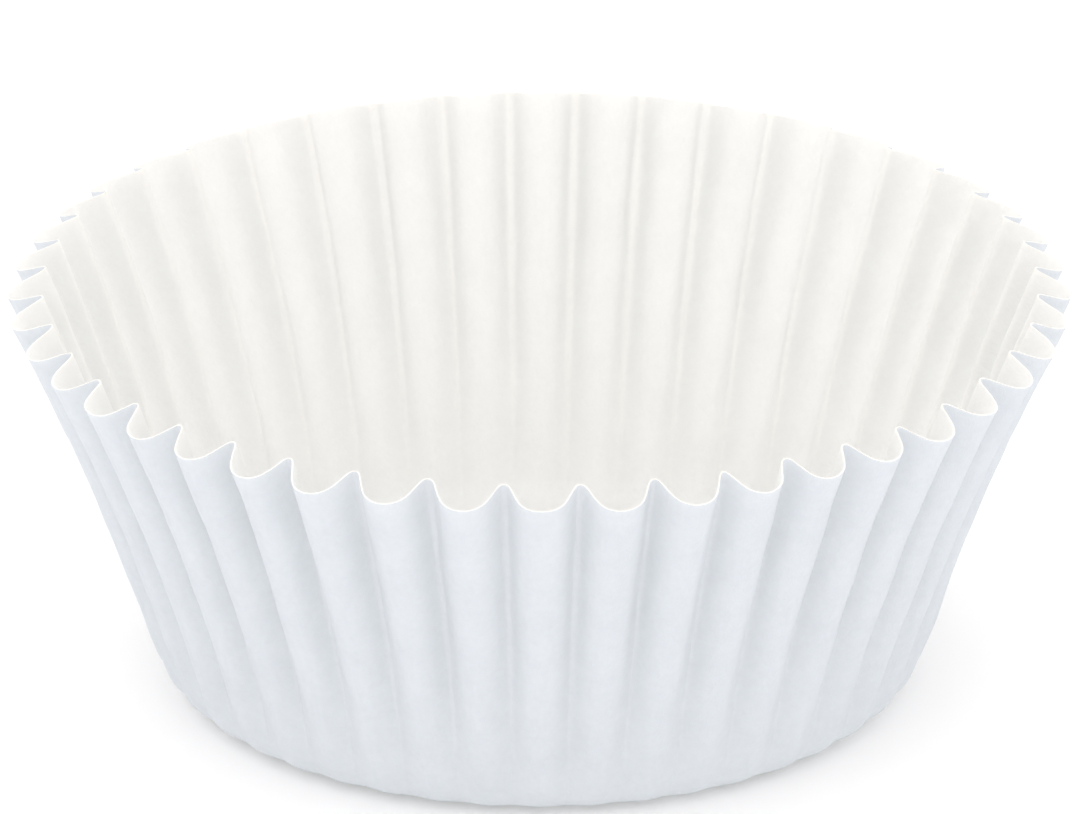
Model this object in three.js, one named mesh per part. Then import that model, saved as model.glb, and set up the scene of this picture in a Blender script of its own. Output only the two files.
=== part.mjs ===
// A pleated paper baking cup, the kind that lines one hollow of a cupcake tin.
// It is one sheet: a flat disc of paper pressed through a fluted die, so that the middle stays
// flat as the bottom and the rest stands up as a wall of pleats. The pleats take up the length
// that the disc's edge has to spare once it is drawn in, which is what sets how deep they are.
// Millimetres, +Z up, origin at the centre of the underside.
import * as THREE from 'three';

// The sheet
const paperThickness = 0.1;
const baseRadius = 22.55; // flat bottom, out to where the sheet starts to turn up
const footRound = 3.4; // radius of the turn between bottom and wall
const wallLength = 26.2; // along the sheet, from the end of that turn to the cut edge

// The wall leans out, a little more at the rim than just above the foot
const footSlope = THREE.MathUtils.degToRad(75.5);
const rimSlope = THREE.MathUtils.degToRad(66);

// The pleats: full round ridges outside, with a tighter crease between each two
const pleatCount = 44;
const ridgeRadius = 1; // outward fold, at the middle of the paper
const creaseRadius = 0.5; // inward fold, at the middle of the paper
const foldRoom = 0.48; // most of the pitch that a ridge's and a crease's radius may take together

// How far the pleats stray round the rim as the paper relaxes: slow waves, in whole turns of the cup
const strayWaves = [
  { turns: 2, reach: THREE.MathUtils.degToRad(0.26), phase: 3 },
  { turns: 5, reach: THREE.MathUtils.degToRad(0.63), phase: 2.1 },
];

// How finely the sheet is drawn
const footBands = 3;
const wallBands = 4;
const ridgeSteps = 4;
const creaseSteps = 2;

const paperColor = 0xf3f4f2;
const paperRoughness = 0.85;

const footLength = footRound * footSlope;
const sheetRadius = baseRadius + footLength + wallLength;
const fullTurn = 2 * Math.PI;

// The middle of the sheet at a distance from the disc's centre: its radius and height in the cup,
// and its angle above the table.
function profileAt(distance) {
  if (distance <= baseRadius) return { radius: distance, height: 0, slope: 0 };
  const turned = Math.min((distance - baseRadius) / footRound, footSlope);
  const round = {
    radius: baseRadius + footRound * Math.sin(turned),
    height: footRound * (1 - Math.cos(turned)),
    slope: turned,
  };
  const climbed = distance - baseRadius - footLength;
  if (climbed <= 0) return round;
  const slope = THREE.MathUtils.lerp(footSlope, rimSlope, climbed / wallLength);
  const chordSlope = (footSlope + slope) / 2;
  return {
    radius: round.radius + climbed * Math.cos(chordSlope),
    height: round.height + climbed * Math.sin(chordSlope),
    slope,
  };
}

// A ridge, a crease and the flanks between them, for pleats of this depth. A flank runs straight
// from fold to fold, along the line that touches both.
function pleatOfDepth(depth, pitch) {
  const foldSize = Math.min(1, (foldRoom * pitch) / (ridgeRadius + creaseRadius));
  const ridge = ridgeRadius * foldSize;
  const crease = creaseRadius * foldSize;
  const rise = depth - ridge - crease;
  const reach = Math.hypot(pitch / 2, rise);
  const turn = Math.atan2(rise, pitch / 2) + Math.asin((ridge + crease) / reach);
  const flank = Math.sqrt(reach ** 2 - (ridge + crease) ** 2);
  const length = 2 * (flank + (ridge + crease) * turn);
  return { depth, pitch, ridge, crease, turn, flank, length };
}

// The pleat whose section is as long as the paper that it has to take up.
function pleatForPaper(paper, pitch) {
  let shallow = 0;
  let deep = paper / 2;
  for (let step = 0; step < 40; step += 1) {
    const middle = (shallow + deep) / 2;
    if (pleatOfDepth(middle, pitch).length < paper) shallow = middle;
    else deep = middle;
  }
  return pleatOfDepth(shallow, pitch);
}

// A point of the section at a share of its length, from the top of one ridge (0) to the next (1):
// how far along the pitch, how far out of the sheet's middle, and how far the paper is turned.
function pointOfPleat(pleat, share) {
  if (share < 0) {
    const mirrored = pointOfPleat(pleat, -share);
    return { along: -mirrored.along, out: mirrored.out, lean: -mirrored.lean };
  }
  if (share > 0.5) {
    const mirrored = pointOfPleat(pleat, 1 - share);
    return { along: pleat.pitch - mirrored.along, out: mirrored.out, lean: -mirrored.lean };
  }
  const { depth, pitch, ridge, crease, turn, flank, length } = pleat;
  const travelled = share * length;
  const pastRidge = travelled - ridge * turn;
  if (pastRidge < 0) {
    const lean = travelled / ridge;
    return { along: ridge * Math.sin(lean), out: depth / 2 - ridge * (1 - Math.cos(lean)), lean };
  }
  if (pastRidge < flank) {
    return {
      along: ridge * Math.sin(turn) + pastRidge * Math.cos(turn),
      out: depth / 2 - ridge * (1 - Math.cos(turn)) - pastRidge * Math.sin(turn),
      lean: turn,
    };
  }
  const lean = (length / 2 - travelled) / crease;
  return {
    along: pitch / 2 - crease * Math.sin(lean),
    out: crease * (1 - Math.cos(lean)) - depth / 2,
    lean,
  };
}

// How far round a pleat has strayed at the rim, and how much wider that makes the pitch there.
function strayAt(angle) {
  const sum = { shift: 0, stretch: 0 };
  for (const { turns, reach, phase } of strayWaves) {
    sum.shift += reach * Math.sin(turns * angle + phase);
    sum.stretch += reach * turns * Math.cos(turns * angle + phase);
  }
  return sum;
}

// The shares of a pleat at which the sheet is drawn: even steps round each fold of the rim.
function drawnShares() {
  const paper = (fullTurn * sheetRadius) / pleatCount;
  const rimPitch = (fullTurn * profileAt(sheetRadius).radius) / pleatCount;
  const { ridge, crease, turn, length } = pleatForPaper(paper, rimPitch);
  const shares = [];
  for (let step = 0; step <= ridgeSteps; step += 1) {
    shares.push(((ridge * turn) / length) * ((2 * step) / ridgeSteps - 1));
  }
  for (let step = 0; step <= creaseSteps; step += 1) {
    shares.push(0.5 + ((crease * turn) / length) * ((2 * step) / creaseSteps - 1));
  }
  return shares;
}

// A point on one face of the sheet (1 for the outside, -1 for the inside), by its pleat and
// share of that pleat, and its distance from the disc's centre.
function pointOnSheet(pleatIndex, share, distance, face) {
  const { radius, height, slope } = profileAt(distance);
  const progress = Math.max(0, distance - baseRadius) / (sheetRadius - baseRadius);
  const nominal = (fullTurn * (pleatIndex + share)) / pleatCount;
  const pitch = ((fullTurn * radius) / pleatCount) * (1 + strayAt(nominal).stretch * progress);
  const paper = (fullTurn * distance) / pleatCount;
  const { along, out, lean } = pointOfPleat(pleatForPaper(Math.max(paper, pitch), pitch), share);
  const halfPaper = (face * paperThickness) / 2;
  const offset = out + halfPaper * Math.cos(lean);
  const folded = (fullTurn * (pleatIndex + along / pitch)) / pleatCount;
  const angle = folded + strayAt(folded).shift * progress + (halfPaper * Math.sin(lean)) / radius;
  const reach = radius + offset * Math.sin(slope);
  return [
    reach * Math.cos(angle),
    reach * Math.sin(angle),
    paperThickness / 2 + height - offset * Math.cos(slope),
  ];
}

// Distances from the disc's centre at which the sheet is drawn, from the flat bottom's edge up.
function drawnDistances() {
  const distances = [baseRadius];
  for (let band = 1; band <= footBands; band += 1) {
    distances.push(baseRadius + (footLength * band) / footBands);
  }
  for (let band = 1; band <= wallBands; band += 1) {
    distances.push(baseRadius + footLength + (wallLength * band) / wallBands);
  }
  return distances;
}

// The sheet as one closed body: both faces, joined along the cut edge at the rim.
function cupGeometry() {
  const shares = drawnShares();
  const distances = drawnDistances();
  const columns = pleatCount * shares.length;
  const positions = [];
  const triangles = [];
  const faceSize = 1 + distances.length * columns;
  for (const face of [1, -1]) {
    positions.push(0, 0, (paperThickness * (1 - face)) / 2);
    for (const distance of distances) {
      for (let column = 0; column < columns; column += 1) {
        const pleatIndex = Math.floor(column / shares.length);
        const share = shares[column % shares.length];
        positions.push(...pointOnSheet(pleatIndex, share, distance, face));
      }
    }
  }
  const vertex = (side, ring, column) => side * faceSize + 1 + ring * columns + (column % columns);
  const addTriangle = (side, a, b, c) => triangles.push(a, side ? c : b, side ? b : c);
  const lastRing = distances.length - 1;
  for (let column = 0; column < columns; column += 1) {
    for (const side of [0, 1]) {
      addTriangle(side, side * faceSize, vertex(side, 0, column + 1), vertex(side, 0, column));
      for (let ring = 0; ring < lastRing; ring += 1) {
        const low = vertex(side, ring, column);
        const lowNext = vertex(side, ring, column + 1);
        const high = vertex(side, ring + 1, column);
        const highNext = vertex(side, ring + 1, column + 1);
        addTriangle(side, low, lowNext, highNext);
        addTriangle(side, low, highNext, high);
      }
    }
    const outer = vertex(0, lastRing, column);
    const outerNext = vertex(0, lastRing, column + 1);
    const inner = vertex(1, lastRing, column);
    const innerNext = vertex(1, lastRing, column + 1);
    triangles.push(outer, outerNext, innerNext, outer, innerNext, inner);
  }
  const geometry = new THREE.BufferGeometry();
  geometry.setAttribute('position', new THREE.Float32BufferAttribute(positions, 3));
  geometry.setIndex(triangles);
  geometry.computeVertexNormals();
  return geometry;
}

const paper = new THREE.MeshStandardMaterial({
  color: paperColor,
  roughness: paperRoughness,
  metalness: 0,
});
const pleatedCup = new THREE.Mesh(cupGeometry(), paper);
pleatedCup.name = 'pleated_cup';

const bakingCup = new THREE.Group();
bakingCup.add(pleatedCup);

export default bakingCup;
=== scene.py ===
# %% [markdown]
# # A pleated paper cupcake liner
#
# The real liner is one disc of greaseproof paper. A heated, fluted die presses the disc into a
# cup: the middle stays flat as the bottom, and the rest stands up as the wall. A disc's edge is
# longer than the mouth of the cup, and the spare length goes into the pleats.
#
# This notebook makes it in the same order: cut the disc, raise a plain wall ring by ring, gather
# each ring into pleats, let the paper relax, and give it its thickness last. Then come the
# paper's material, the light, the floor and the camera.

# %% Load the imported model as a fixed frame
import math

import bmesh
import bpy
import numpy as np
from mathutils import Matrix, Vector


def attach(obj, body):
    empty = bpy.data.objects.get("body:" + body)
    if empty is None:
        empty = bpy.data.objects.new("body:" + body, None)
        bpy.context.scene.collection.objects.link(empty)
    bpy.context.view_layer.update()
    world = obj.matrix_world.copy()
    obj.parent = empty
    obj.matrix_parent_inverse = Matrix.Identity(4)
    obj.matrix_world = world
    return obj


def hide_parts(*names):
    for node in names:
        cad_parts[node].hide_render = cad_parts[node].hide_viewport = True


MM = 0.001
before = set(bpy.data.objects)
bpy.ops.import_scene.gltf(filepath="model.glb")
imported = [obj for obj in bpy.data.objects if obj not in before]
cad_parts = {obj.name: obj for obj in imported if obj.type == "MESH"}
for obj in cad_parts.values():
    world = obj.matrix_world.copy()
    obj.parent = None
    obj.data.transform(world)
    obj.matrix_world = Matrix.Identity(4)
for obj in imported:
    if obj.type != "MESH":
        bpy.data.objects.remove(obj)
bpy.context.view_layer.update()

# %% [markdown]
# ## The sheet's own sizes
#
# These are the sizes that the die gives the paper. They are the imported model's own, so the
# modelled sheet lies where that model does, apart from the folds: the ridges are fuller here and
# the creases tighter, because this finer mesh can hold them. All else is worked out from these.

# %% Sizes of the sheet, in metres
paper_thickness = 0.1 * MM
base_radius = 22.55 * MM  # flat bottom, out to where the sheet starts to turn up
foot_round = 3.4 * MM  # radius of the turn between bottom and wall
wall_length = 26.2 * MM  # along the sheet, from the end of that turn to the cut edge
foot_slope = math.radians(75.5)
rim_slope = math.radians(66)

pleat_count = 44
ridge_radius = 1.7 * MM  # outward fold, at the middle of the paper
crease_radius = 0.42 * MM  # inward fold, at the middle of the paper
fold_room = 0.48  # most of the pitch that both radii may take together

foot_length = foot_round * foot_slope
sheet_radius = base_radius + foot_length + wall_length
print("disc of paper, mm across:", round(2 * sheet_radius / MM, 1))

# %% [markdown]
# ## How the wall stands
#
# The profile says where a ring of the disc ends up: how wide it is, how high it stands, and how
# steep the paper is there. The bottom is flat, a round turn leads up from it, and the wall leans
# out a little more towards the rim.


# %% The profile of the plain wall
def profile_at(distance):
    """Radius, height and slope of the plain sheet at a distance from the disc's centre."""
    if distance <= base_radius:
        return distance, 0.0, 0.0
    turned = min((distance - base_radius) / foot_round, foot_slope)
    radius = base_radius + foot_round * math.sin(turned)
    height = foot_round * (1 - math.cos(turned))
    climbed = distance - base_radius - foot_length
    if climbed <= 0:
        return radius, height, turned
    slope = foot_slope + (rim_slope - foot_slope) * climbed / wall_length
    chord = (foot_slope + slope) / 2
    return radius + climbed * math.cos(chord), height + climbed * math.sin(chord), slope


rim_radius, rim_height, _ = profile_at(sheet_radius)
print("plain rim, mm: radius", round(rim_radius / MM, 2), "height", round(rim_height / MM, 2))

# %% [markdown]
# ## How deep the pleats are
#
# Each pleat is a full round ridge, a tighter crease, and two flat flanks that touch both. The
# paper can't stretch, so a pleat's section is exactly as long as the paper it takes up. Depth is
# found by halving: try a depth, measure the section, and go deeper or shallower. A fold turns
# until it meets the flank, and near the foot, where pleats are shallow, that is only a little.

# %% A pleat by its depth, and by the paper it takes up
halvings = 40


def pleat_of_depth(depth, pitch):
    """Fold radii, turn and lengths of a pleat of this depth."""
    size = min(1.0, fold_room * pitch / (ridge_radius + crease_radius))
    ridge, crease = ridge_radius * size, crease_radius * size
    rise = depth - ridge - crease
    reach = math.hypot(pitch / 2, rise)
    turn = math.atan2(rise, pitch / 2) + math.asin((ridge + crease) / reach)
    flank = math.sqrt(reach**2 - (ridge + crease) ** 2)
    length = 2 * (flank + (ridge + crease) * turn)
    return {
        "depth": depth, "pitch": pitch, "ridge": ridge, "crease": crease,
        "turn": turn, "flank": flank, "length": length,
    }


def pleat_for_paper(paper, pitch):
    """The pleat that takes up this much paper."""
    shallow, deep = 0.0, paper / 2
    for _ in range(halvings):
        middle = (shallow + deep) / 2
        if pleat_of_depth(middle, pitch)["length"] < paper:
            shallow = middle
        else:
            deep = middle
    return pleat_of_depth(shallow, pitch)


# %% A point of the section
def point_of_pleat(pleat, share):
    """Along the pitch, and out of the sheet's middle, at a share of the section's length."""
    if share < 0:
        along, out = point_of_pleat(pleat, -share)
        return -along, out
    if share > 0.5:
        along, out = point_of_pleat(pleat, 1 - share)
        return pleat["pitch"] - along, out
    ridge, crease, turn = pleat["ridge"], pleat["crease"], pleat["turn"]
    travelled = share * pleat["length"]
    past_ridge = travelled - ridge * turn
    half_depth = pleat["depth"] / 2
    if past_ridge < 0:
        lean = travelled / ridge
        return ridge * math.sin(lean), half_depth - ridge * (1 - math.cos(lean))
    if past_ridge < pleat["flank"]:
        along = ridge * math.sin(turn) + past_ridge * math.cos(turn)
        out = half_depth - ridge * (1 - math.cos(turn)) - past_ridge * math.sin(turn)
        return along, out
    lean = (pleat["length"] / 2 - travelled) / crease
    return pleat["pitch"] / 2 - crease * math.sin(lean), crease * (1 - math.cos(lean)) - half_depth


# %% The pleat at the rim
rim_pleat = pleat_for_paper(
    math.tau * sheet_radius / pleat_count, math.tau * rim_radius / pleat_count
)
print("rim pleat, mm: pitch", round(rim_pleat["pitch"] / MM, 2), "depth", round(rim_pleat["depth"] / MM, 2))

# %% [markdown]
# ## Cut the disc
#
# A filled circle is the paper as it leaves the cutter, but only as far as the flat bottom. It
# has twelve points for each pleat to come: seven for the ridge and five for the crease. Insets
# put rings inside it, so that smoothing later keeps the bottom flat right up to its turn. The
# round face left in the middle has hundreds of corners, which smoothing takes minutes over, so
# it is taken out now, and a fan of triangles closes the hole once the sheet is smooth.

# %% The flat bottom of the disc
points_in_ridge = 7
points_in_crease = 5
points_in_pleat = points_in_ridge + points_in_crease
columns = pleat_count * points_in_pleat
bottom_insets = (0.8 * MM, 2.2 * MM, 6 * MM, 7 * MM)

bpy.ops.object.select_all(action="DESELECT")
bpy.ops.mesh.primitive_circle_add(vertices=columns, radius=base_radius, fill_type="NGON")
liner = bpy.context.object
liner.name = liner.data.name = "liner_sheet"
bpy.ops.object.mode_set(mode="EDIT")
for inset in bottom_insets:
    bpy.ops.mesh.inset(thickness=inset)
bpy.ops.mesh.delete(type="ONLY_FACE")
print("disc points:", len(bmesh.from_edit_mesh(liner.data).verts))

# %% [markdown]
# ## Raise a plain wall
#
# The outer edge is extruded once for each ring, and each new ring is widened and lifted to its
# place on the profile. Rings sit closer together in the turn at the foot, where the paper bends
# most.


# %% Select points of the sheet in edit mode
def select_points(chosen):
    """Selects just these vertices of the sheet."""
    mesh = bmesh.from_edit_mesh(liner.data)
    for vertex in mesh.verts:
        vertex.select = False
    mesh.verts.ensure_lookup_table()
    for index in chosen:
        mesh.verts[index].select = True
    mesh.select_flush_mode()
    bmesh.update_edit_mesh(liner.data)


# %% Extrude the wall ring by ring
foot_rings = 5
wall_rings = 11
close_enough = 1e-4  # as a share of the radius
distances = [base_radius + foot_length * (ring + 1) / foot_rings for ring in range(foot_rings)]
distances += [
    base_radius + foot_length + wall_length * (ring + 1) / wall_rings for ring in range(wall_rings)
]

bpy.ops.mesh.select_mode(type="EDGE")
mesh = bmesh.from_edit_mesh(liner.data)
for element in (*mesh.faces, *mesh.edges, *mesh.verts):
    element.select = False
for edge in mesh.edges:
    reaches = [vertex.co.length for vertex in edge.verts]
    edge.select = all(math.isclose(reach, base_radius, rel_tol=close_enough) for reach in reaches)
bmesh.update_edit_mesh(liner.data)

ring_points = []
below_radius, below_height = base_radius, 0.0
for distance in distances:
    radius, height, _ = profile_at(distance)
    bpy.ops.mesh.extrude_region_move()
    widen = radius / below_radius
    bpy.ops.transform.resize(value=(widen, widen, 1), center_override=(0, 0, 0))
    bpy.ops.transform.translate(value=(0, 0, height - below_height))
    mesh = bmesh.from_edit_mesh(liner.data)
    ring_points.append([vertex.index for vertex in mesh.verts if vertex.select])
    below_radius, below_height = radius, height
print("rings raised:", len(ring_points), "with", {len(ring) for ring in ring_points}, "points each")

# %% [markdown]
# ## Gather each ring into pleats
#
# Points that have the same place in their pleats move together, all round the cup: they are
# scaled about the cup's axis to lie on the ridge or in the crease, turned a little to their
# place along the pitch, and lifted or lowered because the wall leans. With no window a rotation
# turns the other way, so its angle is negative here.

# %% Shares of the pleat at which its twelve points lie
ridge_share = rim_pleat["ridge"] * rim_pleat["turn"] / rim_pleat["length"]
crease_share = rim_pleat["crease"] * rim_pleat["turn"] / rim_pleat["length"]
ridge_half = points_in_ridge // 2 + 1
shares = list(np.linspace(0, ridge_share, ridge_half))
shares += list(0.5 + np.linspace(-crease_share, crease_share, points_in_crease))
shares += list(1 - np.linspace(ridge_share, 0, ridge_half)[:-1])
print("shares of the pleat:", [round(float(share), 3) for share in shares])

# %% Gather
bpy.ops.mesh.select_mode(type="VERT")
mesh = bmesh.from_edit_mesh(liner.data)
mesh.verts.ensure_lookup_table()
column_of = {}
for ring in ring_points:
    for index in ring:
        place = mesh.verts[index].co
        column_of[index] = round(math.atan2(place.y, place.x) / math.tau * columns) % columns

for ring, distance in zip(ring_points, distances):
    radius, height, slope = profile_at(distance)
    pitch = math.tau * radius / pleat_count
    pleat = pleat_for_paper(max(math.tau * distance / pleat_count, pitch), pitch)
    for point, share in enumerate(shares):
        along, out = point_of_pleat(pleat, share)
        turn = math.tau / pleat_count * (along / pitch - point / points_in_pleat)
        reach = 1 + out * math.sin(slope) / radius
        select_points([index for index in ring if column_of[index] % points_in_pleat == point])
        bpy.ops.transform.resize(value=(reach, reach, 1), center_override=(0, 0, 0))
        bpy.ops.transform.rotate(value=-turn, orient_axis="Z", center_override=(0, 0, 0))
        bpy.ops.transform.translate(value=(0, 0, -out * math.cos(slope)))
bpy.ops.mesh.select_all(action="SELECT")
bpy.ops.transform.translate(value=(0, 0, paper_thickness / 2))
bpy.ops.object.mode_set(mode="OBJECT")
print("gathered sheet, mm:", [round(side / MM, 2) for side in liner.dimensions])

# %% [markdown]
# ## Let the paper relax
#
# A die is regular, but paper isn't: once it is out, the pleats drift a little round the rim, no
# two folds stand equally far out, and pressing leaves fine lines up the wall. Slow waves round
# the cup make the drift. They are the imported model's own, so the ridges stay where it has them.
# Seeded random steps make the rest: one for each fold, and a smaller one for each column of
# points. Everything is strongest at the rim and fades to nothing at the foot.

# %% Where the points are, and how far up the wall: 0 at the foot and 1 at the rim
sheet = liner.data
points = np.empty(3 * len(sheet.vertices))
sheet.vertices.foreach_get("co", points)
points = points.reshape(-1, 3)
around = np.arctan2(points[:, 1], points[:, 0])
across = np.hypot(points[:, 0], points[:, 1])
progress = np.zeros(len(points))
for ring, distance in zip(ring_points, distances):
    progress[ring] = (distance - base_radius) / (sheet_radius - base_radius)
print("points in the wall:", np.count_nonzero(progress), "of", len(points))

# %% Drift of the pleats round the rim
stray_waves = (  # whole waves round the cup, reach and phase in radians
    (2, math.radians(0.26), 3.0),
    (5, math.radians(0.63), 2.1),
)
drift = sum(reach * np.sin(waves * around + phase) for waves, reach, phase in stray_waves)
around += drift * progress
print("largest drift, degrees:", round(float(np.degrees(np.abs(drift * progress).max())), 2))

# %% Uneven folds, and lines from pressing
folds_in_pleat = 2  # a ridge and a crease
fold_unevenness = 0.1 * MM
press_line_relief = 0.04 * MM
seed = 44

random = np.random.default_rng(seed)
column = np.zeros(len(points), dtype=int)
column[list(column_of)] = list(column_of.values())
folds = random.normal(0, fold_unevenness, folds_in_pleat * pleat_count)
folds = np.append(folds, folds[0])
step = np.interp(folds_in_pleat * column / points_in_pleat, np.arange(len(folds)), folds)
step += random.normal(0, press_line_relief, columns)[column]
across += step * progress
print("largest step, mm:", round(float(np.abs(step * progress).max()) / MM, 2))

# %% Put the points back
points[:, 0] = across * np.cos(around)
points[:, 1] = across * np.sin(around)
sheet.vertices.foreach_set("co", points.ravel())
sheet.update()
print("widest reach, mm:", round(float(across.max()) / MM, 2))

# %% [markdown]
# ## Smooth folds and uneven paper
#
# A subdivision surface rounds the twelve-point pleats into smooth folds. A faint displacement by
# soft clouds then takes away the look of a machined part. It moves only the wall, so the bottom
# stays flat and the liner stands firm. Last, the hole in the bottom is closed: its edge is
# extruded once, and the new points are merged into one, which leaves a fan of triangles.


# %% Apply a modifier
def apply_modifier(thing, kind, **settings):
    """Adds a modifier with these settings and applies it."""
    modifier = thing.modifiers.new(kind.lower(), kind)
    for name, value in settings.items():
        setattr(modifier, name, value)
    bpy.ops.object.select_all(action="DESELECT")
    thing.select_set(True)
    bpy.context.view_layer.objects.active = thing
    bpy.ops.object.modifier_apply(modifier=modifier.name)


# %% Round the folds
apply_modifier(liner, "SUBSURF", levels=1, render_levels=1)
print("faces in the smooth sheet:", len(liner.data.polygons))

# %% Uneven paper
swell_size = 5 * MM
swell_depth = 0.25 * MM
swell = bpy.data.textures.new("paper_swell", type="CLOUDS")
swell.noise_scale = swell_size
swell.noise_depth = 2
wall = liner.vertex_groups.new(name="wall")
wall_points = [vertex.index for vertex in liner.data.vertices if vertex.co.z > foot_round]
wall.add(wall_points, 1.0, "REPLACE")
apply_modifier(
    liner, "DISPLACE", texture=swell, strength=swell_depth, mid_level=0.5, vertex_group="wall"
)
print("uneven points:", len(wall_points), "of", len(liner.data.vertices))

# %% Close the middle of the bottom with a fan
bpy.ops.object.mode_set(mode="EDIT")
bpy.ops.mesh.select_mode(type="EDGE")
bpy.ops.mesh.select_all(action="DESELECT")
mesh = bmesh.from_edit_mesh(liner.data)
for edge in mesh.edges:
    edge.select = edge.is_boundary and edge.verts[0].co.xy.length < base_radius
print("edges round the hole:", sum(edge.select for edge in mesh.edges))
bmesh.update_edit_mesh(liner.data)
bpy.ops.mesh.extrude_region_move()
bpy.ops.mesh.merge(type="CENTER")
bpy.ops.mesh.select_all(action="SELECT")
bpy.ops.mesh.normals_make_consistent(inside=False)
bpy.ops.object.mode_set(mode="OBJECT")

# %% [markdown]
# ## Greaseproof paper
#
# Greaseproof paper is beaten so long that its fibres nearly fuse: it is smooth, matt and dense,
# with no visible weave. Up close it shows faint clouds where the fibres lie thicker, and a grain
# about half a millimetre long, which also stands in low relief. It passes some light, which is
# what keeps the creases of a white liner bright. Both sides are the same paper, but they get
# materials of their own, made by one function: the inside, which faces the cake, is painted a
# shade whiter and warmer as painted light, and is a little less rough; the outside is painted
# darker and cooler as painted shade. A Mix node lists its sockets for all kinds of data one
# after another, so they go by number: 0 is the share, 2 and 3 are its two values, and 6 and 7
# its two colours.


# %% Helpers for colours and nodes
def linear(hex_colour):
    """An sRGB hex colour as linear RGBA."""
    shades = [int(hex_colour[i : i + 2], 16) / 255 for i in (1, 3, 5)]
    light = [s / 12.92 if s <= 0.04045 else ((s + 0.055) / 1.055) ** 2.4 for s in shades]
    return (*light, 1.0)


def add_node(tree, kind, settings=None, values=None, links=None):
    """Adds a node with its settings, its input values and the sockets that feed it."""
    node = tree.nodes.new(kind)
    for name, value in (settings or {}).items():
        setattr(node, name, value)
    for name, value in (values or {}).items():
        node.inputs[name].default_value = value
    for name, socket in (links or {}).items():
        tree.links.new(socket, node.inputs[name])
    return node


# %% What both sides have in common
cloud_size = 2.5 * MM
grain_length = 0.5 * MM
grain_relief = 0.05 * MM
grain_share = 0.6  # the rest of the mottling is clouds
thin_level = 0.35  # of the mixed noise, which seldom leaves this range
thick_level = 0.65
light_through = 0.55  # of each face, so about a third gets through the sheet
paper_ior = 1.47  # cellulose
paper_gloss = 0.3


# %% One side of the paper
def make_paper(name, thin_colour, thick_colour, lit_colour, roughness):
    """Matt paper, mottled between thin and thick places, that passes some light."""
    paper = bpy.data.materials.new(name)
    paper.use_nodes = True
    tree = paper.node_tree
    tree.nodes.clear()
    place = add_node(tree, "ShaderNodeTexCoord").outputs["Object"]
    clouds = add_node(
        tree, "ShaderNodeTexNoise", values={"Scale": 1 / cloud_size, "Detail": 3, "Roughness": 0.6},
        links={"Vector": place},
    )
    grain = add_node(
        tree, "ShaderNodeTexNoise", values={"Scale": 1 / grain_length, "Detail": 4, "Roughness": 0.7},
        links={"Vector": place},
    )
    formation = add_node(
        tree, "ShaderNodeMix", values={0: grain_share},
        links={2: clouds.outputs["Fac"], 3: grain.outputs["Fac"]},
    )
    thickness = add_node(
        tree, "ShaderNodeMapRange", values={"From Min": thin_level, "From Max": thick_level},
        links={"Value": formation.outputs[0]},
    )
    colour = add_node(
        tree, "ShaderNodeMix", {"data_type": "RGBA"},
        {6: linear(thin_colour), 7: linear(thick_colour)}, {0: thickness.outputs["Result"]},
    )
    bump = add_node(
        tree, "ShaderNodeBump", values={"Strength": 1.0, "Distance": grain_relief},
        links={"Height": grain.outputs["Fac"]},
    )
    face = add_node(
        tree, "ShaderNodeBsdfPrincipled",
        values={"Roughness": roughness, "IOR": paper_ior, "Specular IOR Level": paper_gloss},
        links={"Base Color": colour.outputs[2], "Normal": bump.outputs["Normal"]},
    )
    through = add_node(
        tree, "ShaderNodeBsdfTranslucent", values={"Color": linear(lit_colour)},
        links={"Normal": bump.outputs["Normal"]},
    )
    both = add_node(
        tree, "ShaderNodeMixShader", values={0: light_through},
        links={1: face.outputs["BSDF"], 2: through.outputs["BSDF"]},
    )
    add_node(tree, "ShaderNodeOutputMaterial", links={"Surface": both.outputs["Shader"]})
    print("material:", name, "with", len(tree.nodes), "nodes")
    return paper


# %% Both sides, and the cut edge
# painted shade: the outside's colours are darker and cooler than the same paper's inside
outside_paper_painted_shade = make_paper(
    "greaseproof_paper_outside_painted_shade",
    thin_colour="#d1d9e1", thick_colour="#dce3ea", lit_colour="#e6eaf1", roughness=0.85,
)
# painted light: the inside's colours are whiter and warmer than the outside's, and the cut edge gets them
# too
inside_paper_painted_light = make_paper(
    "greaseproof_paper_inside_painted_light",
    thin_colour="#f8f5f2", thick_colour="#fffdf9", lit_colour="#fffdf5", roughness=0.7,
)
liner.data.materials.append(outside_paper_painted_shade)
liner.data.materials.append(inside_paper_painted_light)

# %% [markdown]
# ## Give the sheet its thickness
#
# Thickness comes last, to both sides of the sheet, and it also closes the mesh along the cut
# edge at the rim. The faces that it makes inside take the second material, with its painted
# light, and so does the cut edge, which that whiter painted light makes stand out brightest.

# %% Thickness
sharp_angle = math.radians(60)
apply_modifier(
    liner, "SOLIDIFY", thickness=paper_thickness, offset=0.0, use_even_offset=True,
    material_offset=1, material_offset_rim=1,
)
bpy.ops.object.shade_smooth_by_angle(angle=sharp_angle)
print("finished sheet:", len(liner.data.polygons), "faces,", [round(s / MM, 2) for s in liner.dimensions])

# %% [markdown]
# ## Tie the sheet to the frame
#
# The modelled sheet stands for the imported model's one node. That node stays in the file for
# collision and isn't shown.

# %% Tie
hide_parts("pleated_cup")
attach(liner, "root")
print("the sheet replaces pleated_cup, and rides on root")

# %% [markdown]
# ## Floor and light
#
# White paper on a white ground needs light from everywhere and very little contrast. A bright
# sky gives that. A large soft lamp above one shoulder shapes the ridges, and a weak one low in
# front lifts the foot and the far wall inside.

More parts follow.
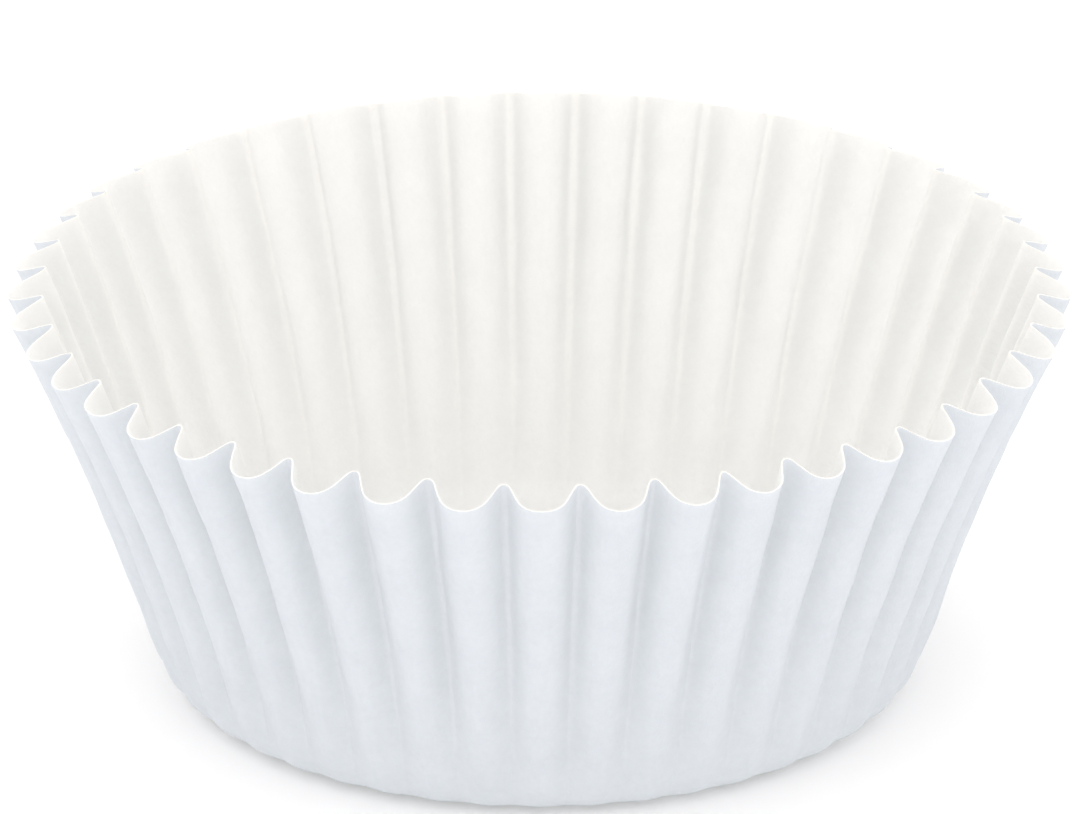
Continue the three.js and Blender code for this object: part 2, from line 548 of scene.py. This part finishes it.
# %% A plain pale floor, a hair under the paper so that the two faces don't mix
floor_side = 8
floor_gap = 0.05 * MM
bpy.ops.object.select_all(action="DESELECT")
bpy.ops.mesh.primitive_plane_add(size=floor_side, location=(0, 0, -floor_gap))
floor = bpy.context.object
floor.name = "floor"
floor_paint = bpy.data.materials.new("matt_floor_paint")
floor_paint.use_nodes = True
floor_shader = floor_paint.node_tree.nodes["Principled BSDF"]
floor_shader.inputs["Base Color"].default_value = linear("#fbfbfa")
floor_shader.inputs["Roughness"].default_value = 0.9
floor_shader.inputs["Specular IOR Level"].default_value = 0.1
floor.data.materials.append(floor_paint)
print("floor, m:", floor_side)

# %% Sky
sky_strength = 1.29
scene = bpy.context.scene
scene.view_settings.view_transform = "Standard"
sky = bpy.data.worlds.new("studio_sky")
sky.use_nodes = True
background = sky.node_tree.nodes["Background"]
background.inputs["Color"].default_value = linear("#fcf9f9")
background.inputs["Strength"].default_value = sky_strength
scene.world = sky
print("sky strength:", sky_strength)


# %% Turn a lamp or a camera to a point
def aim_at(thing, point):
    """Turns a lamp or camera so that it looks at a point, upright."""
    line = Vector(point) - thing.location
    thing.rotation_euler = line.to_track_quat("-Z", "Y").to_euler()


# %% Lamps
soft_lamps = (  # name, place and side in metres, power in watts
    ("overhead_softbox", (-0.15, -0.1, 1.1), 1.2, 2.5),
    ("front_softbox", (0, -1.25, 0.4), 1.0, 1.2),
)
for name, place, side, power in soft_lamps:
    bpy.ops.object.light_add(type="AREA", location=place)
    lamp = bpy.context.object
    lamp.name = name
    lamp.data.size = side
    lamp.data.energy = power
    aim_at(lamp, (0, 0, rim_height / 2))
    print("lamp:", name, power, "W")

# %% [markdown]
# ## Camera
#
# The photograph was taken from far off with a long lens, looking down at about 24 degrees. The
# long lens keeps the mouth's ellipse flat. The camera aims a little above the liner's middle,
# which puts it in the frame with no lens shift.

# %% Camera
camera_distance = 1.2
camera_elevation = math.radians(24.486)
aim_height = 18.8 * MM
frame_width = 1080  # pixels
pixels_per_metre = 14775.1  # at the distance of the liner

bpy.ops.object.camera_add(
    location=(
        0,
        -camera_distance * math.cos(camera_elevation),
        camera_distance * math.sin(camera_elevation),
    )
)
camera = bpy.context.object
camera.name = "camera"
camera.data.sensor_fit = "HORIZONTAL"
camera.data.lens = camera.data.sensor_width * pixels_per_metre * camera_distance / frame_width
aim_at(camera, (0, 0, aim_height))
scene.camera = camera
print("lens, mm:", round(camera.data.lens))
